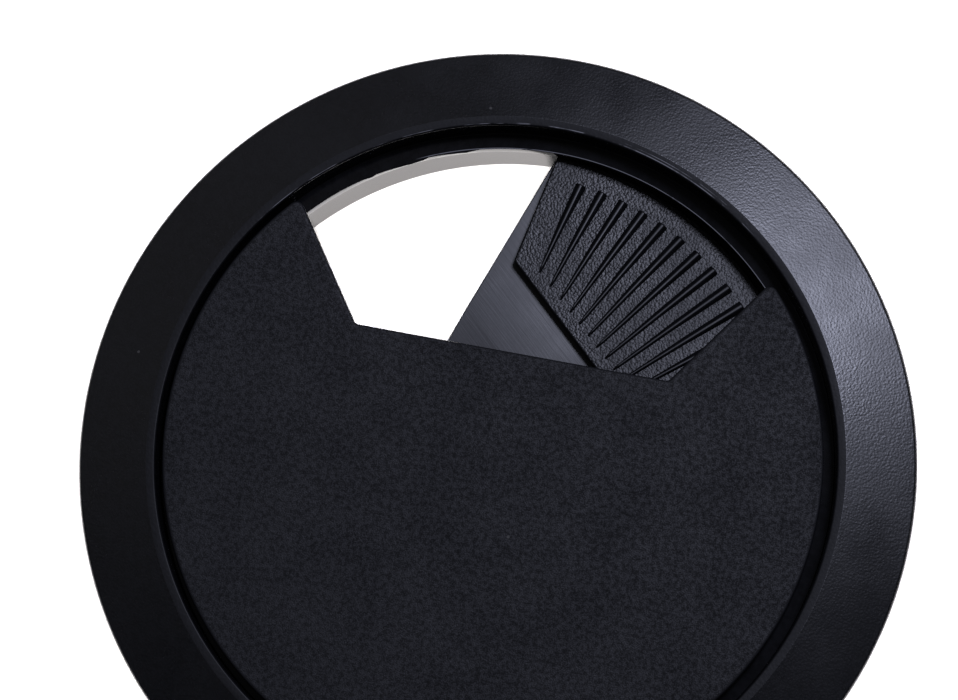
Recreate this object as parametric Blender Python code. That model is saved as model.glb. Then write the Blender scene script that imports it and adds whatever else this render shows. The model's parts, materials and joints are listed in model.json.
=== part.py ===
"""Desk grommet: a liner for a round hole in a desk top, a loose lid with a cable notch, and a shutter
that turns under the lid to close the notch.

Frame: metres, +Z up. The origin is on the liner's axis at the bottom end of its sleeve. +Y runs from
the axis to the middle of the lid's notch. The shutter stands part open.
"""
import math

import bmesh
import bpy
from mathutils import Matrix, Vector

# The desk and the liner
DESK_HOLE_DIAMETER = 0.080
HOLE_CLEARANCE = 0.0002
FLANGE_DIAMETER = 0.095
FLANGE_EDGE_HEIGHT = 0.0008
FLANGE_EDGE_RADIUS = 0.0007
SLEEVE_LENGTH = 0.0139
SLEEVE_WALL = 0.0014
SLEEVE_FLARE = 0.0001
SLEEVE_CHAMFER = 0.0003
COLLAR_WALL = 0.00155
COLLAR_DEPTH = 0.0022
LEDGE_WIDTH = 0.00185
LEDGE_OVERHANG = 0.0014
LEDGE_THICKNESS = 0.0014
LEDGE_DROP = 0.0004
RECESS_DRAFT = 0.0002
RIM_ROUND = 0.0005
RELIEF_DEPTH = 0.0009
RELIEF_LAND = 0.0017

# The ribs outside the sleeve that grip the hole
GRIP_COUNT = 12
GRIP_WIDTH = 0.0012
GRIP_INTERFERENCE = 0.00005
GRIP_START = 0.0010
GRIP_LEAD = 0.0020

# The lid
LID_PLAY = 0.00085
LID_REST_GAP = 0.00035
LID_REST_DIRECTION_DEG = 155.0
LID_THICKNESS = 0.0022
LID_BELOW_RIM = 0.0006
LID_EDGE_ROUND = 0.0004
NOTCH_INSET = 0.0157
NOTCH_CORNER_DEG = 56.4
NOTCH_SIDE_DEG = 35.0
NOTCH_CORNER_ROUND = 0.0006

# The snap post under the lid
POST_RADIUS = 0.0050
POST_WALL = 0.0018
POST_SLOT = 0.0012
SNAP_REACH = 0.0009
SNAP_HEIGHT = 0.0014
SNAP_LAND = 0.0003

# The shutter
SHUTTER_REST_DEG = -42.5
SHUTTER_SIDE_GAP = 0.0003
SHUTTER_THICKNESS = 0.0014
SHUTTER_HALF_DEG = 41.8
SHUTTER_SLOPE_DEG = 6.0
BEND_LAND = 0.0002
HUB_RADIUS = 0.0114
HUB_COLLAR_WALL = 0.0027
PAD_HEIGHT = 0.0014
PAD_SETBACK = 0.0036
PAD_BASE_MARGIN = 0.0023
PAD_TIP_MARGIN = 0.0001
PAD_RIM_MARGIN = 0.0007
PAD_ROUND = 0.0003
PAD_CORNER_ROUND = 0.0006

# The finger ribs on the pad
RIB_COUNT = 17
RIB_PITCH_DEG = 4.5
RIB_HEIGHT = 0.00045
RIB_END_INSET = 0.0026
RIB_TIP_INSET = 0.0015
RIB_FOCUS = 0.0083
RIB_END_WIDTH = 0.0013
RIB_TIP_WIDTH = 0.00036
RIB_CREST_SHARE = 0.30

# Fits and fineness
TOUCH_GAP = 0.0003
PIN_CLEARANCE = 0.00035
ROOT = 0.0004
BEND_SNAP = 0.00006
OVERRUN = 0.001
RING_STEPS = 96
ROUND_STEPS = 3
MERGE = 0.000001

# Radii that follow from the desk hole
hole_radius = DESK_HOLE_DIAMETER / 2
collar_radius = hole_radius - HOLE_CLEARANCE
recess_floor_radius = collar_radius - COLLAR_WALL
recess_top_radius = recess_floor_radius + RECESS_DRAFT
ledge_radius = recess_floor_radius - LEDGE_WIDTH
sleeve_top_inner = ledge_radius + LEDGE_OVERHANG
sleeve_bottom_inner = sleeve_top_inner + SLEEVE_FLARE
sleeve_outer = sleeve_bottom_inner + SLEEVE_WALL
flange_radius = FLANGE_DIAMETER / 2
lid_radius = recess_floor_radius - LID_PLAY
lid_shift = LID_PLAY - LID_REST_GAP
shutter_radius = sleeve_top_inner - lid_shift - SHUTTER_SIDE_GAP
post_inner = POST_RADIUS - POST_WALL
hub_hole = POST_RADIUS + PIN_CLEARANCE

# Heights
flange_under_z = SLEEVE_LENGTH
ledge_z = flange_under_z - LEDGE_DROP
ledge_under_z = ledge_z - LEDGE_THICKNESS
collar_z = flange_under_z - COLLAR_DEPTH
step_z = collar_z - (collar_radius - sleeve_outer)
lid_under_z = ledge_z + TOUCH_GAP
lid_top_z = lid_under_z + LID_THICKNESS
rim_top_z = lid_top_z + LID_BELOW_RIM

# Places in plan
lid_axis = Vector((
    lid_shift * math.cos(math.radians(LID_REST_DIRECTION_DEG)),
    lid_shift * math.sin(math.radians(LID_REST_DIRECTION_DEG)),
    0.0,
))
notch_corner_radius = lid_radius - NOTCH_INSET
notch_base_y = notch_corner_radius * math.cos(math.radians(NOTCH_CORNER_DEG))
notch_base_half = notch_corner_radius * math.sin(math.radians(NOTCH_CORNER_DEG))
pad_radius = shutter_radius - PAD_RIM_MARGIN
pad_base_y = notch_base_y + PAD_SETBACK
rib_end_radius = pad_radius - RIB_END_INSET
rib_tip_y = pad_base_y + RIB_TIP_INSET
hub_collar_radius = hub_hole + HUB_COLLAR_WALL
bend_y = hub_collar_radius + BEND_LAND

# The shutter's heights at its flat hub. Past the bend line its wing slopes down, so that the pad clears
# the lid and its rim goes under the ledge
slope = math.tan(math.radians(SHUTTER_SLOPE_DEG))
pad_base_drop = slope * (pad_base_y - bend_y)
rib_top_z = lid_under_z - PIN_CLEARANCE + pad_base_drop
pad_top_z = rib_top_z - RIB_HEIGHT
plate_top_z = pad_top_z - PAD_HEIGHT
plate_under_z = plate_top_z - SHUTTER_THICKNESS
snap_top_z = plate_under_z - TOUCH_GAP


def clear_scene():
    for thing in list(bpy.data.objects):
        bpy.data.objects.remove(thing, do_unlink=True)


def plastic(name, colour, roughness):
    material = bpy.data.materials.new(name)
    material.use_nodes = True
    shader = material.node_tree.nodes["Principled BSDF"]
    shader.inputs["Base Color"].default_value = (*colour, 1.0)
    shader.inputs["Roughness"].default_value = roughness
    shader.inputs["Metallic"].default_value = 0.0
    return material


def finish(name, bm, material=None):
    """Turns a bmesh into a named object, with its faces out and its round sides shaded smooth."""
    bmesh.ops.remove_doubles(bm, verts=bm.verts, dist=MERGE)
    bmesh.ops.recalc_face_normals(bm, faces=bm.faces)
    mesh = bpy.data.meshes.new(name)
    bm.to_mesh(mesh)
    bm.free()
    mesh.shade_smooth()
    mesh.set_sharp_from_angle(angle=math.radians(30))
    thing = bpy.data.objects.new(name, mesh)
    bpy.context.scene.collection.objects.link(thing)
    if material:
        mesh.materials.append(material)
    return thing


def guide(thing):
    """Marks an object as a shape that only a Boolean uses."""
    thing.hide_render = True
    thing.display_type = "WIRE"
    return thing


def combine(thing, other, operation):
    step = thing.modifiers.new(other.name, "BOOLEAN")
    step.operation = operation
    step.solver = "EXACT"
    step.object = other


def ring(bm, section, steps=RING_STEPS):
    """Turns a closed section, a list of (radius, z), once round the Z axis."""
    corners = [bm.verts.new((radius, 0.0, z)) for radius, z in section]
    sides = [bm.edges.new((a, b)) for a, b in zip(corners, corners[1:] + corners[:1])]
    bmesh.ops.spin(bm, geom=corners + sides, cent=(0, 0, 0), axis=(0, 0, 1), angle=2 * math.pi,
                   steps=steps, use_merge=True)


def prism(bm, outline, bottom, top):
    """Extrudes a plan outline from one height to another, and returns the top face."""
    face = bm.faces.new([bm.verts.new((x, y, bottom)) for x, y in outline])
    raised = bmesh.ops.extrude_face_region(bm, geom=[face])["geom"]
    moved = [item for item in raised if isinstance(item, bmesh.types.BMVert)]
    bmesh.ops.translate(bm, verts=moved, vec=(0, 0, top - bottom))
    return next(item for item in raised if isinstance(item, bmesh.types.BMFace))


def round_upright_corners(bm, places, radius):
    """Rounds the upright edges that stand at the given plan places."""
    upright = []
    for edge in bm.edges:
        a, b = edge.verts
        if (a.co.xy - b.co.xy).length > MERGE:
            continue
        if any((a.co.xy - Vector(place)).length < radius / 10 for place in places):
            upright.append(edge)
    bmesh.ops.bevel(bm, geom=upright, offset=radius, segments=ROUND_STEPS, profile=0.5, affect="EDGES")


def round_top_edge(bm, height, radius):
    """Rounds the edge round the flat top at the given height."""
    bm.normal_update()
    top = [face for face in bm.faces
           if abs(face.normal.z) > 0.99 and abs(face.calc_center_median().z - height) < MERGE]
    rim = [edge for face in top for edge in face.edges]
    bmesh.ops.bevel(bm, geom=rim, offset=radius, segments=ROUND_STEPS, profile=0.5, affect="EDGES")


def arc(radius, start, end, steps):
    """Points on a circle about the Z axis, with angles in radians from +X."""
    turns = [start + (end - start) * i / steps for i in range(steps + 1)]
    return [(radius * math.cos(turn), radius * math.sin(turn)) for turn in turns]


def circle(radius):
    return arc(radius, 0.0, 2 * math.pi, RING_STEPS // 3)[:-1]


def quarter(centre_r, centre_z, radius, start_deg, end_deg):
    """Points of a rounded corner in a turned section."""
    step_deg = (end_deg - start_deg) / ROUND_STEPS
    turns = [math.radians(start_deg + step_deg * i) for i in range(ROUND_STEPS + 1)]
    return [(centre_r + radius * math.cos(turn), centre_z + radius * math.sin(turn)) for turn in turns]


def ray_to_circle(x, y, slope_deg, radius):
    """Where a line from (x, y), leaning slope_deg outward from +Y, meets a circle about the axis."""
    dx, dy = math.sin(math.radians(slope_deg)), math.cos(math.radians(slope_deg))
    half_b = x * dx + y * dy
    run = -half_b + math.sqrt(half_b ** 2 - (x * x + y * y - radius ** 2))
    return x + run * dx, y + run * dy


def mirrored(points):
    """The same run of points on the other side of the Y axis, in the opposite order."""
    return [(-x, y) for x, y in reversed(points)]


def liner_section():
    """The liner's section: sleeve, collar, relieved flange, cone, recess wall and ledge."""
    relief_inner = collar_radius + RELIEF_LAND
    relief_outer = flange_radius - RELIEF_LAND
    edge_z = flange_under_z + FLANGE_EDGE_HEIGHT
    section = [
        (sleeve_bottom_inner, 0.0),
        (sleeve_outer - SLEEVE_CHAMFER, 0.0),
        (sleeve_outer, SLEEVE_CHAMFER),
        (sleeve_outer, step_z),
        (collar_radius, collar_z),
        (collar_radius, flange_under_z),
        (relief_inner, flange_under_z),
        (relief_inner + RELIEF_DEPTH / 2, flange_under_z + RELIEF_DEPTH),
        (relief_outer - RELIEF_DEPTH / 2, flange_under_z + RELIEF_DEPTH),
        (relief_outer, flange_under_z),
        (flange_radius, flange_under_z),
    ]
    section += quarter(flange_radius - FLANGE_EDGE_RADIUS, edge_z - FLANGE_EDGE_RADIUS / 2,
                       FLANGE_EDGE_RADIUS, 0.0, 72.0)
    section += quarter(recess_top_radius + RIM_ROUND, rim_top_z - RIM_ROUND, RIM_ROUND, 80.0, 180.0)
    section += [
        (recess_floor_radius, ledge_z),
        (ledge_radius, ledge_z),
        (ledge_radius, ledge_under_z),
        (sleeve_top_inner, ledge_under_z),
    ]
    return section


def make_liner(material):
    bm = bmesh.new()
    ring(bm, liner_section())
    liner = finish("liner", bm, material)

    bm = bmesh.new()
    outer = hole_radius + GRIP_INTERFERENCE
    top = flange_under_z + ROOT
    side = [
        (sleeve_outer - ROOT, GRIP_START),
        (outer, GRIP_START + GRIP_LEAD),
        (outer, top),
        (collar_radius - ROOT, top),
        (collar_radius - ROOT, collar_z),
        (sleeve_outer - ROOT, step_z),
    ]
    for i in range(GRIP_COUNT):
        face = bm.faces.new([bm.verts.new((r, -GRIP_WIDTH / 2, z)) for r, z in side])
        raised = bmesh.ops.extrude_face_region(bm, geom=[face])["geom"]
        moved = [item for item in raised if isinstance(item, bmesh.types.BMVert)]
        bmesh.ops.translate(bm, verts=moved, vec=(0, GRIP_WIDTH, 0))
        turned = list(face.verts) + moved
        bmesh.ops.rotate(bm, verts=turned, cent=(0, 0, 0),
                         matrix=Matrix.Rotation(2 * math.pi * (i + 0.5) / GRIP_COUNT, 3, "Z"))
    combine(liner, guide(finish("grip_ribs", bm)), "UNION")
    return liner


def lid_outline():
    """The lid's plan: the rim the long way round, then the trapezoid notch."""
    corner_x, corner_y = ray_to_circle(notch_base_half, notch_base_y, NOTCH_SIDE_DEG, lid_radius)
    left = math.atan2(corner_y, -corner_x)
    right = math.atan2(corner_y, corner_x) + 2 * math.pi
    steps = round(RING_STEPS * (right - left) / (2 * math.pi))
    rim = arc(lid_radius, left, right, steps)
    return rim + [(notch_base_half, notch_base_y), (-notch_base_half, notch_base_y)]


def make_lid(material):
    outline = lid_outline()
    bm = bmesh.new()
    prism(bm, outline, lid_under_z, lid_top_z)
    round_upright_corners(bm, [outline[0], outline[-3], outline[-2], outline[-1]], NOTCH_CORNER_ROUND)
    round_top_edge(bm, lid_top_z, LID_EDGE_ROUND)
    lid = finish("lid", bm, material)
    lid.location = lid_axis

    snap_radius = POST_RADIUS + SNAP_REACH
    snap_bottom_z = snap_top_z - SNAP_HEIGHT
    section = [
        (post_inner, snap_bottom_z),
        (post_inner + POST_WALL / 2, snap_bottom_z),
        (snap_radius, snap_top_z - SNAP_LAND),
        (snap_radius, snap_top_z),
        (POST_RADIUS, snap_top_z),
        (POST_RADIUS, lid_under_z + ROOT),
        (post_inner, lid_under_z + ROOT),
    ]
    bm = bmesh.new()
    ring(bm, section, RING_STEPS // 3)
    post = guide(finish("snap_post", bm))
    post.parent = lid
    combine(lid, post, "UNION")

    bm = bmesh.new()
    half, reach = POST_SLOT / 2, snap_radius + OVERRUN
    cross = [(half, half), (half, reach), (-half, reach), (-half, half), (-reach, half), (-reach, -half),
             (-half, -half), (-half, -reach), (half, -reach), (half, -half), (reach, -half), (reach, half)]
    prism(bm, cross, snap_bottom_z - OVERRUN, lid_under_z - TOUCH_GAP)
    slots = guide(finish("post_slots", bm))
    slots.parent = lid
    slots.rotation_euler.z = math.radians(45)
    combine(lid, slots, "DIFFERENCE")
    return lid


def plate_outline():
    """The shutter's plan: a hub, two straight sides that touch it, and an arc that follows the sleeve."""
    corner_turn = math.radians(90 - SHUTTER_HALF_DEG)
    touch_turn = corner_turn - math.acos(HUB_RADIUS / shutter_radius)
    rim = arc(shutter_radius, corner_turn, math.pi - corner_turn, RING_STEPS // 4)
    hub = arc(HUB_RADIUS, math.pi - touch_turn, 2 * math.pi + touch_turn, RING_STEPS // 3)
    return rim + hub


def plate_half_width(y):
    """Half the shutter's width at a distance y from the hub along its middle."""
    corner_turn = math.radians(90 - SHUTTER_HALF_DEG)
    touch_turn = corner_turn - math.acos(HUB_RADIUS / shutter_radius)
    return (HUB_RADIUS - y * math.sin(touch_turn)) / math.cos(touch_turn)


def pad_side():
    """The pad's base corner and its outer corner, on the +X side."""
    base_x = plate_half_width(pad_base_y) - PAD_BASE_MARGIN
    tip_turn = math.radians(SHUTTER_HALF_DEG) - PAD_TIP_MARGIN / shutter_radius
    tip_x, tip_y = shutter_radius * math.sin(tip_turn), shutter_radius * math.cos(tip_turn)
    slope = math.degrees(math.atan2(tip_x - base_x, tip_y - pad_base_y))
    return (base_x, pad_base_y), ray_to_circle(base_x, pad_base_y, slope, pad_radius)


def add_rib(bm, turn_deg):
    """One finger rib: a tapering ridge with sloping sides and a blunt outer end."""
    turn = math.radians(turn_deg)
    end = Vector((rib_end_radius * math.sin(turn), rib_end_radius * math.cos(turn)))
    focus = Vector((0.0, -RIB_FOCUS))
    along = (end - focus).normalized()
    tip = focus + along * (rib_tip_y + RIB_FOCUS) / along.y
    across = Vector((along.y, -along.x))
    bottom = pad_top_z - ROOT
    spread = 1 + ROOT / RIB_HEIGHT * (1 - RIB_CREST_SHARE)
    rings = []
    for place, width, lean in ((end, RIB_END_WIDTH, RIB_HEIGHT / 4), (tip, RIB_TIP_WIDTH, RIB_HEIGHT)):
        outward = along if place is end else -along
        foot = place + outward * lean * ROOT / RIB_HEIGHT
        crest = place - outward * lean
        low = [foot + across * side * width * spread / 2 for side in (-1, 1)]
        high = [crest + across * side * width * RIB_CREST_SHARE / 2 for side in (1, -1)]
        corners = [(*p, bottom) for p in low] + [(*p, rib_top_z) for p in high]
        rings.append([bm.verts.new(corner) for corner in corners])
    outer, inner = rings
    bm.faces.new(outer)
    bm.faces.new(inner[::-1])
    for i in range(4):
        j = (i + 1) % 4
        bm.faces.new((outer[j], outer[i], inner[i], inner[j]))


def slope_down(bm):
    """Lowers what lies beyond the bend line, so that a flat shape slopes down towards the rim."""
    for corner in bm.verts:
        corner.co.z -= slope * max(0.0, corner.co.y - bend_y)


def make_shutter(material):
    bm = bmesh.new()
    prism(bm, plate_outline(), plate_under_z, plate_top_z)
    for corner in bm.verts:
        if abs(corner.co.y - bend_y) < BEND_SNAP:
            corner.co.y = bend_y
    bmesh.ops.bisect_plane(bm, geom=bm.verts[:] + bm.edges[:] + bm.faces[:], dist=MERGE,
                           plane_co=(0, bend_y, 0), plane_no=(0, 1, 0))
    slope_down(bm)
    shutter = finish("shutter", bm, material)

    base, tip = pad_side()
    start = math.atan2(tip[1], tip[0])
    outline = arc(pad_radius, start, math.pi - start, RING_STEPS // 4) + mirrored([base]) + [base]
    bm = bmesh.new()
    prism(bm, outline, plate_top_z - ROOT, pad_top_z)
    round_upright_corners(bm, [base, (-base[0], base[1])], PAD_CORNER_ROUND)
    round_top_edge(bm, pad_top_z, PAD_ROUND)
    slope_down(bm)
    pad = finish("thumb_pad", bm)

    bm = bmesh.new()
    for i in range(RIB_COUNT):
        add_rib(bm, (i - (RIB_COUNT - 1) / 2) * RIB_PITCH_DEG)
    slope_down(bm)
    ribs = finish("finger_ribs", bm)

    bm = bmesh.new()
    prism(bm, circle(hub_collar_radius), plate_top_z - ROOT, lid_under_z - TOUCH_GAP)
    boss = finish("hub_collar", bm)

    bm = bmesh.new()
    prism(bm, circle(hub_hole), plate_under_z - OVERRUN, lid_under_z + OVERRUN)
    bore = finish("hub_bore", bm)

    for part, operation in ((pad, "UNION"), (ribs, "UNION"), (boss, "UNION"), (bore, "DIFFERENCE")):
        part.parent = shutter
        combine(shutter, guide(part), operation)
    shutter.location = lid_axis
    shutter.rotation_euler.z = math.radians(SHUTTER_REST_DEG)
    return shutter


clear_scene()
make_liner(plastic("liner_black", (0.018, 0.018, 0.021), 0.38))
make_lid(plastic("lid_black", (0.016, 0.016, 0.018), 0.62))
make_shutter(plastic("shutter_black", (0.022, 0.022, 0.026), 0.45))
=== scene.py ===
# %% [markdown]
# # A desk grommet in black plastic
#
# A desk grommet lines a round cable hole in a desk top. This one has three mouldings: a liner with a
# sloping flange, a loose lid with a notch for the cables, and a shutter that turns under the lid.
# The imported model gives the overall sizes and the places, and this lesson builds the fine surfaces
# over it. Lengths are written in millimetres and turned into metres, which is what the frame uses.

# %% The fixed frame
import json
import math

import bmesh
import bpy
from mathutils import Matrix, Vector


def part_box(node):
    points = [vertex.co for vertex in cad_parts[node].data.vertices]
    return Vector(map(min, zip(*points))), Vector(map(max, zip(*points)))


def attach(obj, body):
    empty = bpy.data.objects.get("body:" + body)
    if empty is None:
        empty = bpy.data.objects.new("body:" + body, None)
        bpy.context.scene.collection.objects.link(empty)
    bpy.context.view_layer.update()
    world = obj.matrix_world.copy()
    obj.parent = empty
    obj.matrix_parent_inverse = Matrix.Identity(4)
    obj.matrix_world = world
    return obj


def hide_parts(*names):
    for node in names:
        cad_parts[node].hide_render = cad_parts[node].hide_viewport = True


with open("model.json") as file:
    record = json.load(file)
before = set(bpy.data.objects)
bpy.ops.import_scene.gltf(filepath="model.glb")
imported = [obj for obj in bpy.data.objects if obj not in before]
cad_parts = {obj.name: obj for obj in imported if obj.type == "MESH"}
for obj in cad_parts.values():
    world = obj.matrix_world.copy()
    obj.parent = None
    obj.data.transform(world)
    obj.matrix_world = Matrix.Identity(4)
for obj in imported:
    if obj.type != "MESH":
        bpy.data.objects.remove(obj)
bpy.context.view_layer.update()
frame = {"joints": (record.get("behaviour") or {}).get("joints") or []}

mm = 0.001

# %% [markdown]
# ## Sizes
#
# The overall sizes are read from the frame's boxes, so they can't drift from the model. Both moving
# pieces turn about the lid's own axis, which lies half a millimetre off the liner's, because the lid
# lies loose in its recess. What is left are the walls, drops and roundings of each moulding, and those
# are named where they are first used.

# %% Sizes from the frame
lid_turn = next(joint for joint in frame["joints"] if joint["name"] == "lid_turn")
lid_axis = Vector((lid_turn["pos_m"][0], lid_turn["pos_m"][1], 0.0))
flange_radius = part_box("liner")[1].x
rim_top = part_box("liner")[1].z
lid_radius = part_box("lid")[1].x - lid_axis.x
lid_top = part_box("lid")[1].z
post_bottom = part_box("lid")[0].z
hub_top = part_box("shutter")[1].z
print(f"flange {2000 * flange_radius:.1f} mm across, lid {2000 * lid_radius:.1f} mm across")
print(f"height {1000 * rim_top:.1f} mm")

# %% [markdown]
# ## Two ways to make a moulding
#
# Nearly everything here is either turned or cut from a flat outline. A Screw modifier could turn a
# section, but building the rings by hand lets each ring differ a little, which the trimmed edge of the
# ledge needs. A Bevel modifier could round a flat outline, but stacking drawn-in copies of the outline
# gives every rounding its own radius. Both start from a helper that rounds the corners of an outline.

# %% Rounding the corners of an outline
ROUND_STEPS = 6


def rounded(corners):
    """The points of a closed outline given as (x, y, corner radius)."""
    points = []
    for i, (x, y, radius) in enumerate(corners):
        here = Vector((x, y))
        if radius == 0.0:
            points.append(here)
            continue
        before = (Vector(corners[i - 1][:2]) - here).normalized()
        after = (Vector(corners[(i + 1) % len(corners)][:2]) - here).normalized()
        half = before.angle(after) / 2
        centre = here + (before + after).normalized() * radius / math.sin(half)
        start = here + before * radius / math.tan(half) - centre
        end = here + after * radius / math.tan(half) - centre
        first = math.atan2(start.y, start.x)
        sweep = math.remainder(math.atan2(end.y, end.x) - first, 2 * math.pi)
        for k in range(ROUND_STEPS + 1):
            turn = first + sweep * k / ROUND_STEPS
            points.append(centre + radius * Vector((math.cos(turn), math.sin(turn))))
    return points


# %% Turning a section
def turned(bm, section, steps, start=0.0, sweep=2 * math.pi, slot_of=None, trim=None):
    """Turns a closed section of (radius, z) about Z, all the way round or through part of a turn."""
    whole = sweep >= 2 * math.pi
    rings = []
    for k in range(steps if whole else steps + 1):
        turn = start + sweep * k / steps
        ring = []
        for radius, z in section:
            reach = radius - (trim(radius, z, turn) if trim else 0.0)
            ring.append(bm.verts.new((reach * math.cos(turn), reach * math.sin(turn), z)))
        rings.append(ring)
    count = len(section)
    for k in range(steps):
        a, b = rings[k], rings[(k + 1) % len(rings)]
        for i in range(count):
            j = (i + 1) % count
            face = bm.faces.new((a[i], b[i], b[j], a[j]))
            if slot_of:
                face.material_index = slot_of((section[i] + section[j]) / 2)
    if not whole:
        bm.faces.new(rings[0])
        bm.faces.new(rings[-1][::-1])


# %% Stacking an outline
def slab(bm, outline, profile):
    """Stacks copies of a counterclockwise outline, each drawn in by (inset, z), and closes both ends."""
    count = len(outline)
    inward = []
    for i in range(count):
        along = (outline[(i + 1) % count] - outline[i - 1]).normalized()
        inward.append(Vector((-along.y, along.x)))
    rings = []
    for inset, z in profile:
        rings.append([bm.verts.new((*(p + n * inset), z)) for p, n in zip(outline, inward)])
    for low, high in zip(rings, rings[1:]):
        for i in range(count):
            j = (i + 1) % count
            bm.faces.new((low[i], low[j], high[j], high[i]))
    bm.faces.new(rings[0][::-1])
    bm.faces.new(rings[-1])


def round_over(bottom, top, low_radius, top_radius):
    """The side of a slab: rounded below, upright and rounded above. A last ring holds the flat top."""
    side = []
    for k in range(ROUND_STEPS + 1):
        turn = math.pi / 2 * (1 - k / ROUND_STEPS)
        side.append((low_radius * (1 - math.cos(turn)), bottom + low_radius * (1 - math.sin(turn))))
    for k in range(ROUND_STEPS + 1):
        turn = math.pi / 2 * k / ROUND_STEPS
        side.append((top_radius * (1 - math.cos(turn)), top - top_radius * (1 - math.sin(turn))))
    return side + [(top_radius * 1.15, top)]


def arc(radius, start, end, steps):
    """Points along part of a circle about the origin, both ends included."""
    turns = [start + (end - start) * k / steps for k in range(steps + 1)]
    return [Vector((radius * math.cos(turn), radius * math.sin(turn))) for turn in turns]


# %% From a bmesh to a piece
MERGE_DISTANCE = 0.0005 * mm


def piece(name, bm, place=(0, 0, 0), turn_deg=0.0):
    """Makes a named, smooth-shaded object from a bmesh, which is used up."""
    bmesh.ops.remove_doubles(bm, verts=bm.verts, dist=MERGE_DISTANCE)
    bmesh.ops.recalc_face_normals(bm, faces=bm.faces)
    mesh = bpy.data.meshes.new(name)
    bm.to_mesh(mesh)
    bm.free()
    thing = bpy.data.objects.new(name, mesh)
    bpy.context.scene.collection.objects.link(thing)
    thing.location = place
    thing.rotation_euler.z = math.radians(turn_deg)
    soften(thing)
    return thing


SHARP_ABOVE_DEG = 35


def soften(thing):
    """Shades a piece smooth, apart from real corners, and keeps its large flat faces flat."""
    thing.data.shade_smooth()
    thing.data.set_sharp_from_angle(angle=math.radians(SHARP_ABOVE_DEG))
    normals = thing.modifiers.new("flat faces stay flat", "WEIGHTED_NORMAL")
    normals.weight = 100
    normals.keep_sharp = True


# %% [markdown]
# ## The liner
#
# The liner is one turned moulding: a thin-edged flange that slopes up to a narrow smooth lip, a recess
# for the lid, a ledge for it to lie on, and a sleeve that drops into the desk. The ledge overhangs the
# sleeve, so the shutter's rim can pass under it. The ledge's inner edge is where the two halves of the
# mould meet, so a thin flash was trimmed off there by hand with a knife. Noise could roughen the edge,
# but a knife leaves short straight cuts, so each ring takes its depth from a small list of them.

# %% The liner's section
hole_radius = 40.0 * mm
collar_radius = 39.8 * mm
sleeve_outer = 39.3 * mm
sleeve_inner = 37.9 * mm
recess_floor_radius = 38.25 * mm
recess_top_radius = 38.45 * mm
ledge_radius = 36.4 * mm
flange_under = 13.9 * mm
relief_top = flange_under + 0.9 * mm
relief_inner = 41.5 * mm
relief_outer = 45.8 * mm
relief_draft = 0.45 * mm
ledge_top = 13.5 * mm
ledge_under = 12.1 * mm
collar_under = flange_under - 2.2 * mm
collar_step = 0.5 * mm
lip_width = 1.05 * mm
edge_height = 0.8 * mm

liner_section = rounded([
    (sleeve_inner, 0.0, 0.15 * mm),
    (sleeve_outer, 0.0, 0.3 * mm),
    (sleeve_outer, collar_under - collar_step, 0.2 * mm),
    (collar_radius, collar_under, 0.2 * mm),
    (collar_radius, flange_under, 0.1 * mm),
    (relief_inner, flange_under, 0.1 * mm),
    (relief_inner + relief_draft, relief_top, 0.3 * mm),
    (relief_outer - relief_draft, relief_top, 0.3 * mm),
    (relief_outer, flange_under, 0.1 * mm),
    (flange_radius, flange_under, 0.12 * mm),
    (flange_radius, flange_under + edge_height + 0.1 * mm, 0.55 * mm),
    (recess_top_radius + lip_width, rim_top, 0.35 * mm),
    (recess_top_radius, rim_top, 0.28 * mm),
    (recess_floor_radius, ledge_top, 0.12 * mm),
    (ledge_radius, ledge_top, 0.1 * mm),
    (ledge_radius, ledge_under, 0.1 * mm),
    (sleeve_inner - 0.1 * mm, ledge_under, 0.3 * mm),
])
print("liner section:", len(liner_section), "points")

# %% The trimmed edge of the ledge
LINER_STEPS = 720
# Where the knife's cuts begin and end: degrees round the ledge, millimetres of flash left standing.
FLASH_CUTS = [
    (104.0, 0.0), (106.5, 0.24), (113.5, 0.06), (114.5, 0.24), (116.8, 0.32), (123.5, 0.10),
    (124.5, 0.21), (126.0, 0.08), (131.0, 0.0), (146.0, 0.0), (147.5, 0.07), (152.0, 0.0),
]


def flash_left(radius, z, turn):
    """How far the flash that the knife left stands in from the ledge's edge, at this angle."""
    if abs(radius - ledge_radius) > 0.11 * mm or z < ledge_top - 0.3 * mm:
        return 0.0
    angle = math.degrees(turn)
    for (a, depth_a), (b, depth_b) in zip(FLASH_CUTS, FLASH_CUTS[1:]):
        if a <= angle <= b:
            share = (angle - a) / (b - a)
            return (depth_a + (depth_b - depth_a) * share) * mm
    return 0.0


# %% The liner
FLANGE, INSIDE, LIP = 0, 1, 2


def liner_finish(middle):
    """Which finish a stretch of the section gets: grained flange, smooth lip or satin inside."""
    if middle.y < flange_under + 0.25 * mm or middle.x < recess_top_radius + 0.1 * mm:
        return INSIDE
    return LIP if middle.x < recess_top_radius + lip_width - 0.1 * mm else FLANGE


bm = bmesh.new()
turned(bm, liner_section, LINER_STEPS, slot_of=liner_finish, trim=flash_left)
liner = piece("liner_body", bm)
print("liner:", len(liner.data.polygons), "faces")

# %% [markdown]
# The sleeve grips the hole with twelve upright ribs. Each is a narrow slab whose lower end leans in, so
# that the grommet can be pushed home. They are a separate piece here, because a Boolean union with the
# fine-stepped liner would only add slivers where nothing shows.

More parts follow.
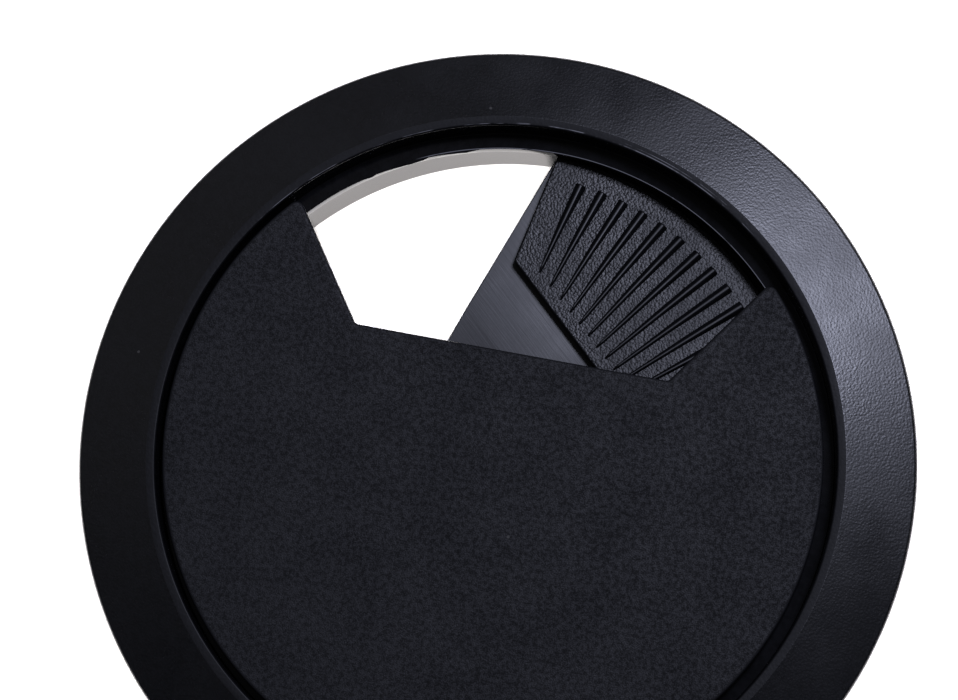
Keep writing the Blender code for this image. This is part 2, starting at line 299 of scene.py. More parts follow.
# %% The ribs that grip the hole
GRIP_COUNT = 12
GRIP_SHIFT = 0.5
grip_bite = 0.05 * mm
grip_root = 0.1 * mm
grip_half_width = 0.6 * mm
grip_side = rounded([
    (sleeve_outer - grip_root, 1.0 * mm, 0.0),
    (sleeve_outer + 0.05 * mm, 1.0 * mm, 0.0),
    (hole_radius + grip_bite, 3.0 * mm, 0.5 * mm),
    (hole_radius + grip_bite, flange_under, 0.0),
    (collar_radius - grip_root, flange_under, 0.0),
    (collar_radius - grip_root, collar_under, 0.0),
    (sleeve_outer - grip_root, collar_under - collar_step, 0.0),
])
stand_up = Matrix.Rotation(math.pi / 2, 4, "X")
bm = bmesh.new()
for k in range(GRIP_COUNT):
    rib = bmesh.new()
    slab(rib, grip_side, round_over(-grip_half_width, grip_half_width, 0.04 * mm, 0.04 * mm))
    rib.transform(Matrix.Rotation(2 * math.pi * (k + GRIP_SHIFT) / GRIP_COUNT, 4, "Z") @ stand_up)
    rib_mesh = bpy.data.meshes.new("grip rib")
    rib.to_mesh(rib_mesh)
    rib.free()
    bm.from_mesh(rib_mesh)
    bpy.data.meshes.remove(rib_mesh)
grip_ribs = piece("grip_ribs", bm)
print("grip ribs:", GRIP_COUNT)

# %% [markdown]
# ## The lid
#
# The lid is a flat disc with a notch like a cut-off triangle. Its rim and the notch share one softly
# rounded top edge, which is what catches the light. The notch could be cut from a disc with a Boolean,
# but the rounding would then stop at the cut. The whole plan is one outline instead, so a single slab
# makes the disc, the notch and that edge together.

# %% The lid's plate
lid_under = ledge_top + 0.3 * mm
RIM_STEPS = 420
NOTCH_SIDE_DEG = 35.0
horn_round = 0.9 * mm
notch_round = 0.6 * mm
notch_base_y = 12.0 * mm
notch_base_half = 18.1 * mm

# The notch's side is the line x = lean + slope * y, and it meets the rim's circle at rim_x, rim_y.
slope = math.tan(math.radians(NOTCH_SIDE_DEG))
run = 1 + slope ** 2
lean = notch_base_half - slope * notch_base_y
rim_y = (-slope * lean + math.sqrt(slope ** 2 * lean ** 2 - run * (lean ** 2 - lid_radius ** 2))) / run
rim_x = lean + slope * rim_y
rim_turn = math.atan2(rim_y, rim_x)
rim = arc(lid_radius, math.pi - rim_turn, 2 * math.pi + rim_turn, RIM_STEPS)

# The rounding of each horn takes up the first few points of the rim, so those are left out.
lid_outline = rounded(
    [(rim[0].x, rim[0].y, horn_round)]
    + [(p.x, p.y, 0.0) for p in rim[5:-5]]
    + [(rim[-1].x, rim[-1].y, horn_round)]
    + [(notch_base_half, notch_base_y, notch_round), (-notch_base_half, notch_base_y, notch_round)]
)
bm = bmesh.new()
slab(bm, lid_outline, round_over(lid_under, lid_top, 0.15 * mm, 0.42 * mm))
lid = piece("lid_plate", bm, lid_axis)
print("lid:", len(lid_outline), "points round its outline")

# %% [markdown]
# Under the lid a split post holds the shutter. Its four fingers spring together when the shutter is
# pushed on, and their hooked ends hold it. Two crossed slots could be cut through a whole post, but it
# is simpler to turn the same section four times, each time through a little less than a quarter.

# %% The snap post
post_radius = 5.0 * mm
post_inner = 3.2 * mm
snap_radius = 5.9 * mm
snap_top = post_bottom + 1.4 * mm
post_section = rounded([
    (post_inner, post_bottom, 0.1 * mm),
    (4.1 * mm, post_bottom, 0.2 * mm),
    (snap_radius, snap_top - 0.3 * mm, 0.15 * mm),
    (snap_radius, snap_top, 0.08 * mm),
    (post_radius, snap_top, 0.1 * mm),
    (post_radius, lid_under, 0.0),
    (post_inner, lid_under, 0.0),
])
bm = bmesh.new()
FINGER_COUNT = 4
FINGER_STEPS = 24
slot_half_width = 0.6 * mm
slot_half = math.asin(slot_half_width / post_radius)
for k in range(FINGER_COUNT):
    start = math.pi / 4 + k * math.pi / 2 + slot_half
    turned(bm, post_section, FINGER_STEPS, start, math.pi / 2 - 2 * slot_half)
snap_post = piece("snap_post", bm, lid_axis)
print("snap post:", FINGER_COUNT, "fingers")

# %% [markdown]
# ## The shutter
#
# The shutter is a plate like a fan, with a flat hub on the post and a wing that slopes down to the
# rim. The slope leaves room under the lid for the raised thumb pad and its ribs. The sloping parts
# could be built in place, but they are first made flat and then lowered beyond one bend line, so pad,
# ribs and plate keep their fit. Boolean unions join them further on.

# %% The shutter's sizes
SHUTTER_TURN_DEG = -42.5
hub_radius = 11.4 * mm
shutter_radius = 37.0 * mm
wing_half = math.radians(41.8)
WING_SLOPE = math.tan(math.radians(6.0))
hub_collar_radius = 8.05 * mm
bend_y = hub_collar_radius + 0.2 * mm
pad_base_y = 15.6 * mm
pad_sink = 0.4 * mm
tip_round = 0.35 * mm
plate_top = lid_under - 2.2 * mm + WING_SLOPE * (pad_base_y - bend_y)
plate_under = plate_top - 1.4 * mm
pad_top = plate_top + 1.4 * mm
pad_radius = 36.3 * mm


def lower_wing(bm):
    """Slopes down whatever lies beyond the bend line."""
    for corner in bm.verts:
        corner.co.z -= WING_SLOPE * max(0.0, corner.co.y - bend_y)


# %% The shutter's plate
# The plate's side is the line that touches the hub at this turn and meets the rim at the wing's corner.
touch = math.pi / 2 - wing_half - math.acos(hub_radius / shutter_radius)


def wing_half_width(y):
    """Half the plate's width at a distance y from the hub."""
    return (hub_radius - y * math.sin(touch)) / math.cos(touch)


fan = arc(shutter_radius, math.pi / 2 - wing_half, math.pi / 2 + wing_half, 96)
hub = arc(hub_radius, math.pi - touch, 2 * math.pi + touch, 120)
plate_outline = rounded(
    [(p.x, p.y, tip_round if p in (fan[0], fan[-1]) else 0.0) for p in fan]
    + [(p.x, p.y, 0.0) for p in hub]
)
bm = bmesh.new()
slab(bm, plate_outline, round_over(plate_under, plate_top, 0.12 * mm, 0.12 * mm))
whole_plate = bm.verts[:] + bm.edges[:] + bm.faces[:]
bmesh.ops.bisect_plane(bm, geom=whole_plate, dist=0.001 * mm, plane_co=(0, bend_y, 0), plane_no=(0, 1, 0))
lower_wing(bm)
shutter = piece("shutter_body", bm, lid_axis, SHUTTER_TURN_DEG)
print("wing drops", round(WING_SLOPE * (shutter_radius - bend_y) / mm, 2), "mm to the rim")

# %% The thumb pad
pad_set_in = 2.3 * mm
tip_margin = 0.1 * mm
base_x = wing_half_width(pad_base_y) - pad_set_in
foot = Vector((base_x, pad_base_y))
tip_turn = wing_half - tip_margin / shutter_radius
tip = shutter_radius * Vector((math.sin(tip_turn), math.cos(tip_turn)))

# The pad's side runs from its foot towards the wing's corner, as far as the pad's own rim.
side = (tip - foot).normalized()
along_side = -foot.dot(side) + math.sqrt(foot.dot(side) ** 2 - foot.length_squared + pad_radius ** 2)
corner = foot + side * along_side
corner_turn = math.atan2(corner.y, corner.x)
pad_rim = arc(pad_radius, corner_turn, math.pi - corner_turn, 90)
pad_outline = rounded(
    [(p.x, p.y, tip_round if p in (pad_rim[0], pad_rim[-1]) else 0.0) for p in pad_rim]
    + [(-base_x, pad_base_y, 0.6 * mm), (base_x, pad_base_y, 0.6 * mm)]
)
bm = bmesh.new()
slab(bm, pad_outline, round_over(plate_top - pad_sink, pad_top, 0.01 * mm, 0.25 * mm))
lower_wing(bm)
pad = piece("thumb_pad", bm, lid_axis, SHUTTER_TURN_DEG)
print(f"pad: {2000 * base_x:.1f} mm wide at its foot, {2000 * corner.x:.1f} mm at its rim")

# %% [markdown]
# Seventeen ribs on the pad give the thumb its hold. They fan out from a point behind the hub, each with
# a blunt outer end and a fine inner tip. An array of one rib could turn about that point, but the tips
# end on a straight line, so each rib has a length of its own and is built from a few stations along it.

# %% The finger ribs
RIB_COUNT = 17
RIB_PITCH_DEG = 4.5
rib_height = 0.45 * mm
rib_end_radius = 33.7 * mm
rib_tip_y = 17.1 * mm
rib_focus = Vector((0.0, -8.3 * mm))
end_width = 1.3 * mm
tip_width = 0.34 * mm
rib_root = 0.3 * mm
# Across a rib: share of the half width, share of the height. Steep sides, then a narrow soft crest.
RIB_CREST = [(-0.52, 0.72), (-0.36, 0.93), (-0.16, 1.0), (0.16, 1.0), (0.36, 0.93), (0.52, 0.72)]
RIB_FOOT = 1.44


def finger_rib(bm, turn_deg):
    """A tapering ridge aimed at a point behind the hub, with a blunt outer end and a fine inner tip."""
    turn = math.radians(turn_deg)
    end = rib_end_radius * Vector((math.sin(turn), math.cos(turn)))
    along = (end - rib_focus).normalized()
    tip = rib_focus + along * (rib_tip_y - rib_focus.y) / along.y
    across = Vector((along.y, -along.x))
    # Each station: a place on the rib's middle line, the width there, and the share of the full height.
    stations = [
        (end + along * 0.05 * mm, end_width, -0.4),
        (end - along * 0.10 * mm, end_width, 0.8),
        (end - along * 0.22 * mm, end_width * 0.99, 1.0),
        (tip + along * 0.9 * mm, tip_width * 1.25, 1.0),
        (tip + along * 0.3 * mm, tip_width, 0.6),
        (tip - along * 0.15 * mm, tip_width * 0.9, -0.4),
    ]
    rings = []
    for place, width, share in stations:
        ring = []
        for x, height in RIB_CREST:
            ring.append((place + across * x * width / 2, pad_top + rib_height * height * share))
        for x in (RIB_FOOT, -RIB_FOOT):
            ring.append((place + across * x * width / 2, pad_top - rib_root))
        rings.append([bm.verts.new((*at, z)) for at, z in ring])
    for a, b in zip(rings, rings[1:]):
        for i in range(len(a)):
            j = (i + 1) % len(a)
            bm.faces.new((a[i], a[j], b[j], b[i]))
    bm.faces.new(rings[0])
    bm.faces.new(rings[-1][::-1])


bm = bmesh.new()
for k in range(RIB_COUNT):
    finger_rib(bm, (k - (RIB_COUNT - 1) / 2) * RIB_PITCH_DEG)
lower_wing(bm)
ribs = piece("finger_ribs", bm, lid_axis, SHUTTER_TURN_DEG)
print("finger ribs:", RIB_COUNT)

# %% The hub's collar and bore
bore_radius = 5.35 * mm
past = 1 * mm


def disc(radius):
    return arc(radius, 0.0, 2 * math.pi, 96)[:-1]


bm = bmesh.new()
slab(bm, disc(hub_collar_radius), round_over(plate_top - pad_sink, hub_top, 0.01 * mm, 0.1 * mm))
hub_collar = piece("hub_collar", bm, lid_axis, SHUTTER_TURN_DEG)
bm = bmesh.new()
slab(bm, disc(bore_radius), [(0.0, plate_under - past), (0.0, hub_top + past)])
hub_bore = piece("hub_bore", bm, lid_axis, SHUTTER_TURN_DEG)
print(f"hub: {2000 * bore_radius:.1f} mm hole on a {2000 * post_radius:.1f} mm post")

# %% [markdown]
# ## One grain, many finishes
#
# A mould is etched, brushed or polished, and the plastic copies it. Every finish could have nodes of
# its own, but all of them are made of a few effects, so each effect is a node group with named sockets:
#
# - `moulded_grain` gives the height of an etched texture;
# - `rounded_edge` finds where a surface turns over;
# - `handling` gives a faint uneven sheen and the odd speck of dust;
# - `tool_marks` gives the fine strokes that a polished mould leaves;
# - `scuff_and_highlight_ring` gives a thin broken grey line round part of a circle: real scuffs on the
#   lip, and a painted highlight along the ledge's edge.

# %% Making a node group
def group(name, inputs, outputs):
    """A shader node group with float or vector sockets, and its input and output nodes."""
    tree = bpy.data.node_groups.new(name, "ShaderNodeTree")
    for socket, kind, value in inputs:
        made = tree.interface.new_socket(socket, in_out="INPUT", socket_type=kind)
        if value is not None:
            made.default_value = value
    for socket, kind in outputs:
        tree.interface.new_socket(socket, in_out="OUTPUT", socket_type=kind)
    return tree, tree.nodes.new("NodeGroupInput"), tree.nodes.new("NodeGroupOutput")


def math_node(tree, operation, a, b=None, c=None, clamp=False):
    """The output of a math node whose inputs are numbers or other outputs."""
    node = tree.nodes.new("ShaderNodeMath")
    node.operation = operation
    node.use_clamp = clamp
    for socket, value in zip(node.inputs, (a, b, c)):
        if isinstance(value, (int, float)):
            socket.default_value = value
        elif value is not None:
            tree.links.new(value, socket)
    return node.outputs[0]


def ramp(tree, value, low, high, to_low=0.0, to_high=1.0):
    """Maps a value smoothly from one range to another."""
    node = tree.nodes.new("ShaderNodeMapRange")
    node.interpolation_type = "SMOOTHSTEP"
    for socket, setting in zip(node.inputs[1:5], (low, high, to_low, to_high)):
        socket.default_value = setting
    tree.links.new(value, node.inputs[0])
    return node.outputs[0]


FLOAT, VECTOR = "NodeSocketFloat", "NodeSocketVector"


# %% The etched grain
BLOTCH_SHARE = 0.3
moulded_grain, given, result = group(
    "moulded_grain",
    [("Vector", VECTOR, None), ("Grain per metre", FLOAT, 2500.0), ("Pebble", FLOAT, 0.5)],
    [("Height", FLOAT), ("Blotch", FLOAT)],
)
links = moulded_grain.links
fine = moulded_grain.nodes.new("ShaderNodeTexNoise")
fine.inputs["Detail"].default_value = 2.0
fine.inputs["Roughness"].default_value = 0.55
links.new(given.outputs["Vector"], fine.inputs["Vector"])
links.new(given.outputs["Grain per metre"], fine.inputs["Scale"])
pebbles = moulded_grain.nodes.new("ShaderNodeTexVoronoi")
pebbles.feature = "SMOOTH_F1"
pebbles.inputs["Smoothness"].default_value = 0.6
links.new(given.outputs["Vector"], pebbles.inputs["Vector"])
links.new(given.outputs["Grain per metre"], pebbles.inputs["Scale"])
rounds = math_node(moulded_grain, "SUBTRACT", 1.0, pebbles.outputs["Distance"])
mixed = moulded_grain.nodes.new("ShaderNodeMix")
links.new(given.outputs["Pebble"], mixed.inputs["Factor"])
links.new(fine.outputs["Fac"], mixed.inputs["A"])
links.new(rounds, mixed.inputs["B"])
links.new(mixed.outputs["Result"], result.inputs["Height"])
coarse = moulded_grain.nodes.new("ShaderNodeTexNoise")
coarse.inputs["Detail"].default_value = 3.0
blotches = math_node(moulded_grain, "MULTIPLY", given.outputs["Grain per metre"], BLOTCH_SHARE)
links.new(given.outputs["Vector"], coarse.inputs["Vector"])
links.new(blotches, coarse.inputs["Scale"])
links.new(coarse.outputs["Fac"], result.inputs["Blotch"])

# %% The rounded edge
rounded_edge, given, result = group(
    "rounded_edge",
    [("Start", FLOAT, 0.97), ("End", FLOAT, 0.35)],
    [("Mask", FLOAT)],
)
links = rounded_edge.links
surface = rounded_edge.nodes.new("ShaderNodeNewGeometry")
upward = rounded_edge.nodes.new("ShaderNodeSeparateXYZ")
links.new(surface.outputs["Normal"], upward.inputs[0])
turned_away = rounded_edge.nodes.new("ShaderNodeMapRange")
turned_away.interpolation_type = "SMOOTHSTEP"
links.new(upward.outputs["Z"], turned_away.inputs["Value"])
links.new(given.outputs["Start"], turned_away.inputs["From Min"])
links.new(given.outputs["End"], turned_away.inputs["From Max"])
links.new(turned_away.outputs["Result"], result.inputs["Mask"])

# %% Handling: uneven sheen and specks of dust
CLOUDS_PER_METRE = 120.0
CLEAN_SHARE = 0.8
handling, given, result = group(
    "handling",
    [("Vector", VECTOR, None), ("Specks per metre", FLOAT, 260.0), ("Speck size", FLOAT, 0.045)],
    [("Sheen", FLOAT), ("Dust", FLOAT)],
)
links = handling.links
cloud = handling.nodes.new("ShaderNodeTexNoise")
cloud.inputs["Scale"].default_value = CLOUDS_PER_METRE
cloud.inputs["Detail"].default_value = 4.0
links.new(given.outputs["Vector"], cloud.inputs["Vector"])
links.new(ramp(handling, cloud.outputs["Fac"], 0.3, 0.7, -1.0, 1.0), result.inputs["Sheen"])
specks = handling.nodes.new("ShaderNodeTexVoronoi")
links.new(given.outputs["Vector"], specks.inputs["Vector"])
links.new(given.outputs["Specks per metre"], specks.inputs["Scale"])
near = math_node(handling, "LESS_THAN", specks.outputs["Distance"], given.outputs["Speck size"])
pick = handling.nodes.new("ShaderNodeSeparateColor")
links.new(specks.outputs["Color"], pick.inputs[0])
chosen = math_node(handling, "GREATER_THAN", pick.outputs[0], CLEAN_SHARE)
links.new(math_node(handling, "MULTIPLY", near, chosen), result.inputs["Dust"])

# %% Tool marks
STROKE_DEG = 7.0
STROKE_STRETCH = 0.035
tool_marks, given, result = group(
    "tool_marks",
    [("Vector", VECTOR, None), ("Marks per metre", FLOAT, 4800.0)],
    [("Height", FLOAT)],
)
links = tool_marks.links
drawn_out = tool_marks.nodes.new("ShaderNodeMapping")
drawn_out.inputs["Scale"].default_value = (STROKE_STRETCH, 1.0, 1.0)
drawn_out.inputs["Rotation"].default_value = (0.0, 0.0, math.radians(STROKE_DEG))
links.new(given.outputs["Vector"], drawn_out.inputs["Vector"])
strokes = tool_marks.nodes.new("ShaderNodeTexNoise")
strokes.inputs["Detail"].default_value = 3.0
strokes.inputs["Roughness"].default_value = 0.65
links.new(drawn_out.outputs["Vector"], strokes.inputs["Vector"])
links.new(given.outputs["Marks per metre"], strokes.inputs["Scale"])
links.new(strokes.outputs["Fac"], result.inputs["Height"])

# %% A grey ring line, for scuffs and for a painted highlight
GAPS_PER_METRE = 420.0
GAP_CONTRAST = 9.0
ARC_FADE = 30.0
scuff_and_highlight_ring, given, result = group(
    "scuff_and_highlight_ring",
    [("Vector", VECTOR, None), ("Radius", FLOAT, 39.0 * mm), ("Width", FLOAT, 0.06 * mm),
     ("Toward X", FLOAT, 0.6), ("Toward Y", FLOAT, 0.8), ("Reach", FLOAT, 0.95), ("Broken", FLOAT, 0.5)],
    [("Mask", FLOAT)],
)
links = scuff_and_highlight_ring.links


def ring_math(operation, a, b=None, c=None, clamp=False):
    return math_node(scuff_and_highlight_ring, operation, a, b, c, clamp)


# How near the point is to the ring.
across = scuff_and_highlight_ring.nodes.new("ShaderNodeSeparateXYZ")
links.new(given.outputs["Vector"], across.inputs[0])
x, y = across.outputs["X"], across.outputs["Y"]
reach = ring_math("SQRT", ring_math("MULTIPLY_ADD", x, x, ring_math("MULTIPLY", y, y)))
off = ring_math("ABSOLUTE", ring_math("SUBTRACT", reach, given.outputs["Radius"]))
line = ring_math("SUBTRACT", 1.0, ring_math("DIVIDE", off, given.outputs["Width"]), clamp=True)

# Which part of the circle carries the line: the cosine of the angle to its middle, against that of its
# end.
sideways = ring_math("MULTIPLY", y, given.outputs["Toward Y"])
facing = ring_math("MULTIPLY_ADD", x, given.outputs["Toward X"], sideways)
facing = ring_math("SUBTRACT", ring_math("DIVIDE", facing, reach), given.outputs["Reach"])
inside_arc = ring_math("MULTIPLY", facing, ARC_FADE, clamp=True)

# Where the line is broken.
gaps = scuff_and_highlight_ring.nodes.new("ShaderNodeTexNoise")
gaps.inputs["Scale"].default_value = GAPS_PER_METRE
gaps.inputs["Detail"].default_value = 4.0
links.new(given.outputs["Vector"], gaps.inputs["Vector"])
whole = ring_math("SUBTRACT", gaps.outputs["Fac"], given.outputs["Broken"])
whole = ring_math("MULTIPLY", whole, GAP_CONTRAST, clamp=True)
line = ring_math("MULTIPLY", line, inside_arc)
links.new(ring_math("MULTIPLY", line, whole), result.inputs["Mask"])
print("effects:", [tree.name for tree in bpy.data.node_groups])

# %% [markdown]
# ## The black plastics
#
# Every finish is the same black plastic, nearly all of whose light is gloss, so what tells them apart
# is roughness and relief. A copied material could be changed seven times over, but then a correction
# would have to be made seven times too. So one function lays out the parts they share. What differs is
# passed in: the colour, the sheen, how coarse and deep the grain is, and how worn the rounded edges
# are. A depth of tool marks is only passed where the moulding has them, and thin grey ring lines only
# where they are drawn: real scuffs on the lip, and a painted highlight along the ledge's rounded edge.

# %% A plastic with a moulded finish
DUST = (0.07, 0.068, 0.066)
# A light grey, both for real scuffs on the lip and for a painted highlight on the ledge's rounded edge.
SCUFF_AND_HIGHLIGHT_GREY = (0.32, 0.32, 0.34)
PLASTIC_IOR = 1.5
GRAIN_IN_TONE = 0.6
EDGE_FLATTENS = 0.7


def add_group(tree, effect, **settings):
    """Places an effect in a material; an underscore in a setting's name stands for a space."""
    node = tree.nodes.new("ShaderNodeGroup")
    node.node_tree = effect
    for socket, value in settings.items():
        node.inputs[socket.replace("_", " ")].default_value = value
    return node


def colour_mix(tree, factor, a, b):
    """A mix of two colours, each a plain colour or an output."""
    mix = tree.nodes.new("ShaderNodeMix")
    mix.data_type = "RGBA"
    for socket, value in ((mix.inputs["Factor"], factor), (mix.inputs["A"], a), (mix.inputs["B"], b)):
        if isinstance(value, tuple):
            socket.default_value = (*value, 1.0)
        else:
            tree.links.new(value, socket)
    return mix.outputs["Result"]


def plastic(name, colour, roughness, grain_per_mm, depth_mm, pebble=0.5, speckle=0.25, edge_gloss=0.1,
            sheen=0.04, grit=0.0, gloss=0.5, marks_mm=0.0, scuffs_and_highlights=()):
    """Each grey ring line is (radius in mm, width in mm, its middle in degrees, half its length in
    degrees, gaps).
    """
    material = bpy.data.materials.new(name)
    material.use_nodes = True
    tree = material.node_tree
    shader = tree.nodes["Principled BSDF"]
    shader.inputs["IOR"].default_value = PLASTIC_IOR
    shader.inputs["Specular IOR Level"].default_value = gloss
    place = tree.nodes.new("ShaderNodeTexCoord").outputs["Object"]

    grain = add_group(tree, moulded_grain, Grain_per_metre=grain_per_mm / mm, Pebble=pebble)
    wear = add_group(tree, handling)
    edge = add_group(tree, rounded_edge)
    for node in (grain, wear):
        tree.links.new(place, node.inputs["Vector"])

    blotch = math_node(tree, "MULTIPLY", grain.outputs["Blotch"], 1 - GRAIN_IN_TONE)
    uneven = math_node(tree, "MULTIPLY_ADD", grain.outputs["Height"], GRAIN_IN_TONE, blotch)
    uneven = ramp(tree, uneven, 0.38, 0.62)
    low = tuple((1 - speckle) * c for c in colour)
    high = tuple((1 + speckle) * c for c in colour)
    tone = colour_mix(tree, wear.outputs["Dust"], colour_mix(tree, uneven, low, high), DUST)
    # Grey ring lines in the colour: real scuffs, and a painted highlight where a rounded edge would catch
    # the light.
    for radius, width, towards_deg, half_deg, broken in scuffs_and_highlights:
        towards = math.radians(towards_deg)
        scuff_and_highlight_line = add_group(tree, scuff_and_highlight_ring, Radius=radius * mm, Width=width * mm, Broken=broken,
                          Toward_X=math.cos(towards), Toward_Y=math.sin(towards),
                          Reach=math.cos(math.radians(half_deg)))
        tree.links.new(place, scuff_and_highlight_line.inputs["Vector"])
        tone = colour_mix(tree, scuff_and_highlight_line.outputs["Mask"], tone, SCUFF_AND_HIGHLIGHT_GREY)
    tree.links.new(tone, shader.inputs["Base Color"])

    rough = math_node(tree, "MULTIPLY_ADD", wear.outputs["Sheen"], sheen, roughness + grit / 2)
    rough = math_node(tree, "MULTIPLY_ADD", uneven, -grit, rough)
    worn = math_node(tree, "MULTIPLY", edge.outputs["Mask"], edge_gloss)
    tree.links.new(math_node(tree, "SUBTRACT", rough, worn, clamp=True), shader.inputs["Roughness"])

    flatter = math_node(tree, "MULTIPLY_ADD", edge.outputs["Mask"], -EDGE_FLATTENS, 1.0)
    height = math_node(tree, "MULTIPLY", grain.outputs["Height"], flatter)
    if marks_mm:
        marks = add_group(tree, tool_marks)
        tree.links.new(place, marks.inputs["Vector"])
        height = math_node(tree, "MULTIPLY_ADD", marks.outputs["Height"], marks_mm / depth_mm, height)
    bump = tree.nodes.new("ShaderNodeBump")
    bump.inputs["Distance"].default_value = depth_mm * mm
    tree.links.new(height, bump.inputs["Height"])
    tree.links.new(bump.outputs["Normal"], shader.inputs["Normal"])
    return material


# %% The finishes
BLACK = (0.0055, 0.0056, 0.0066)
LID_BLACK = (0.0060, 0.0062, 0.0078)
flange_grain = plastic("flange_grain", BLACK, 0.30, 3.8, 0.022, pebble=0.5, speckle=0.3)
# The grey line along the ledge's rounded inner edge, at 36.48 mm, is a painted highlight: the light that
# edge catches, and no scuff.
inside_satin = plastic("inside_satin", BLACK, 0.14, 1.2, 0.003, pebble=0.0, sheen=0.03, gloss=0.2,
                       scuffs_and_highlights=[(36.48, 0.06, 72.0, 44.0, 0.30)])
lip_scuffs = [
    (38.70, 0.07, 75.0, 24.0, 0.48),
    (39.0, 0.05, 66.0, 15.0, 0.52),
    (38.62, 0.04, 120.0, 26.0, 0.46),
]
lip_smooth = plastic("lip_smooth", BLACK, 0.50, 3.0, 0.02, pebble=0.3, gloss=0.25, scuffs_and_highlights=lip_scuffs)
lid_grain = plastic("lid_grain", LID_BLACK, 0.70, 6.5, 0.045, pebble=0.3, speckle=0.75,
                    edge_gloss=0.30, grit=0.3, gloss=0.42)
plate_satin = plastic("plate_satin", BLACK, 0.41, 1.5, 0.003, pebble=0.0, marks_mm=0.011, gloss=0.62)
pad_leather = plastic("pad_leather", BLACK, 0.36, 3.9, 0.075, pebble=0.6, gloss=0.30)
rib_smooth = plastic("rib_smooth", BLACK, 0.38, 2.0, 0.006, pebble=0.0, gloss=0.25)
print("materials so far:", [material.name for material in bpy.data.materials])

# %% [markdown]
# ## Joining the shutter
#
# The real shutter is one moulding, and no seam shows where the ribs stand on the pad. Pieces that only
# overlap would look much the same, but they wouldn't be one closed surface. So the pieces get their
# finishes first and are joined afterwards, with the Boolean's material mode set to transfer, and every
# face keeps the finish that it had before the join.

# %% The joined shutter
shutter_pieces = [
    (shutter, plate_satin),
    (pad, pad_leather),
    (ribs, rib_smooth),
    (hub_collar, plate_satin),
    (hub_bore, plate_satin),
]
for thing, finish in shutter_pieces:
    thing.data.materials.append(finish)
    thing.modifiers.clear()


def joined(target, tools):
    """Applies one Boolean after another to the target's mesh, and takes the used pieces away."""
    for tool, operation in tools:
        step = target.modifiers.new(tool.name, "BOOLEAN")
        step.operation = operation
        step.solver = "EXACT"
        step.material_mode = "TRANSFER"
        step.object = tool
    ready = target.evaluated_get(bpy.context.evaluated_depsgraph_get())
    mesh = bpy.data.meshes.new_from_object(ready)
    target.modifiers.clear()
    target.data = mesh
    for tool, _ in tools:
        bpy.data.objects.remove(tool)
    soften(target)


bpy.context.view_layer.update()
joined(shutter, [(pad, "UNION"), (ribs, "UNION"), (hub_collar, "UNION"), (hub_bore, "DIFFERENCE")])
print("shutter:", len(shutter.data.polygons), "faces,", [m.name for m in shutter.data.materials])

# %% The other finishes
for finish in (flange_grain, inside_satin, lip_smooth):
    liner.data.materials.append(finish)
grip_ribs.data.materials.append(inside_satin)
lid.data.materials.append(lid_grain)
snap_post.data.materials.append(plate_satin)
print("liner:", [material.name for material in liner.data.materials])

# %% [markdown]
# ## Riding on the frame
#
# The lid turns in the liner, and the shutter turns on the lid. Parenting or keys could show that, but
# the frame moves its own bodies. So each piece only says which body it moves with, and the imported
# nodes are hidden.

# %% Bodies, and the imported nodes hidden
riders = [
    (liner, "liner"),
    (grip_ribs, "liner"),
    (lid, "lid"),
    (snap_post, "lid"),
    (shutter, "shutter"),
]
for thing, body in riders:
    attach(thing, body)
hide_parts("liner")
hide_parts("lid")
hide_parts("shutter")
print("riding:", [(thing.name, body) for thing, body in riders])

# %% [markdown]
# ## The table, the light and the camera
#
# The grommet stands on a plain white ground that is lit so brightly that it shows no shadow. A light at
# the camera and a wide ceiling light do that. Both are linked to the ground alone, so the black plastic
# doesn't see them. What shapes the plastic is one soft box, high on the far right, with a cool tint,
# and a weak, wide fill from the left that keeps the dark side of the flange from going flat.

# %% The ground
GROUND_HALF_SIZE = 3.0
bm = bmesh.new()
bmesh.ops.create_grid(bm, x_segments=1, y_segments=1, size=GROUND_HALF_SIZE)
ground_mesh = bpy.data.meshes.new("ground")
bm.to_mesh(ground_mesh)
bm.free()
ground = bpy.data.objects.new("ground", ground_mesh)
bpy.context.scene.collection.objects.link(ground)
white = bpy.data.materials.new("white_ground")
white.use_nodes = True
matt = white.node_tree.nodes["Principled BSDF"]
matt.inputs["Base Color"].default_value = (0.9, 0.885, 0.88, 1.0)
matt.inputs["Roughness"].default_value = 1.0
matt.inputs["Specular IOR Level"].default_value = 0.0
ground.data.materials.append(white)
print("ground:", 2 * GROUND_HALF_SIZE, "m across")

# %% The camera
CAMERA_TURNS = ((10.54, "Z"), (10.84, "X"), (3.98, "Y"))
camera_place = (35.02 * mm, -53.72 * mm, 389.36 * mm)
camera = bpy.data.objects.new("camera", bpy.data.cameras.new("camera"))
bpy.context.scene.collection.objects.link(camera)
camera.data.sensor_width = 36.0
camera.data.lens = 126.3
camera.data.clip_start = 0.01
look = Matrix.Identity(4)
for turn_deg, axis in CAMERA_TURNS:
    look = look @ Matrix.Rotation(math.radians(turn_deg), 4, axis)
camera.matrix_world = Matrix.Translation(camera_place) @ look
bpy.context.scene.camera = camera
print(f"camera: {camera.data.lens:.1f} mm lens, {camera_place[2]:.3f} m up")

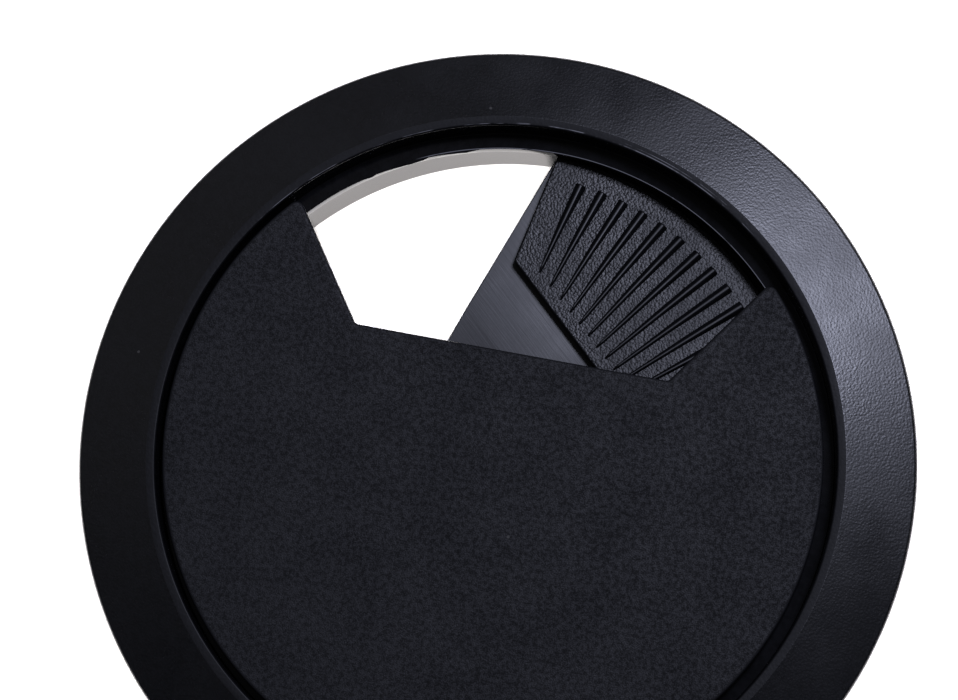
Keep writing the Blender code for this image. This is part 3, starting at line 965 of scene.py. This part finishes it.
# %% The lights
def area_light(name, place, aim, size, power, colour):
    """A round area light of a given diameter, aimed at a point."""
    data = bpy.data.lights.new(name, "AREA")
    data.shape = "DISK"
    data.size = size
    data.energy = power
    data.color = colour
    light = bpy.data.objects.new(name, data)
    bpy.context.scene.collection.objects.link(light)
    light.location = place
    light.rotation_euler = (Vector(aim) - Vector(place)).to_track_quat("-Z", "Y").to_euler()
    return light


middle = Vector((0.0, 0.0, rim_top))
box_direction = Vector((0.261, 0.426, 0.866)).normalized()
area_light("soft_box", middle + 0.6 * box_direction, middle, 0.19, 1.64, (0.88, 0.92, 1.18))
fill_direction = Vector((-0.52, 0.33, 0.80)).normalized()
area_light("fill", middle + 0.8 * fill_direction, middle, 0.75, 0.155, (1.0, 0.96, 0.98))
ground_light = area_light("ground_light", camera.location, middle, 0.04, 2.3, (1.0, 0.97, 0.965))
ceiling = bpy.data.lights.new("ceiling", "SUN")
ceiling.energy = 2.4
ceiling.angle = math.radians(60)
ceiling_light = bpy.data.objects.new("ceiling", ceiling)
bpy.context.scene.collection.objects.link(ceiling_light)
ground_only = bpy.data.collections.new("ground only")
ground_only.objects.link(ground)
for light in (ground_light, ceiling_light):
    light.light_linking.receiver_collection = ground_only
print("lights:", [light.name for light in bpy.data.lights])

# %% The room
# The room is dim to the plastic, and white only where the camera looks past the ground.
world = bpy.data.worlds.new("room")
bpy.context.scene.world = world
world.use_nodes = True
tree = world.node_tree
room = tree.nodes["Background"]
room.inputs["Color"].default_value = (0.05, 0.052, 0.06, 1.0)
backdrop = tree.nodes.new("ShaderNodeBackground")
backdrop.inputs["Color"].default_value = (1.0, 1.0, 1.0, 1.0)
path = tree.nodes.new("ShaderNodeLightPath")
mix = tree.nodes.new("ShaderNodeMixShader")
tree.links.new(path.outputs["Is Camera Ray"], mix.inputs["Fac"])
tree.links.new(room.outputs[0], mix.inputs[1])
tree.links.new(backdrop.outputs[0], mix.inputs[2])
tree.links.new(mix.outputs[0], tree.nodes["World Output"].inputs["Surface"])
bpy.context.scene.view_settings.view_transform = "Standard"
print("room:", world.name)

# %% [markdown]
# ## The size
#
# The imported model and the finished pieces should fill the same box.

# %% The end
print("scene built")
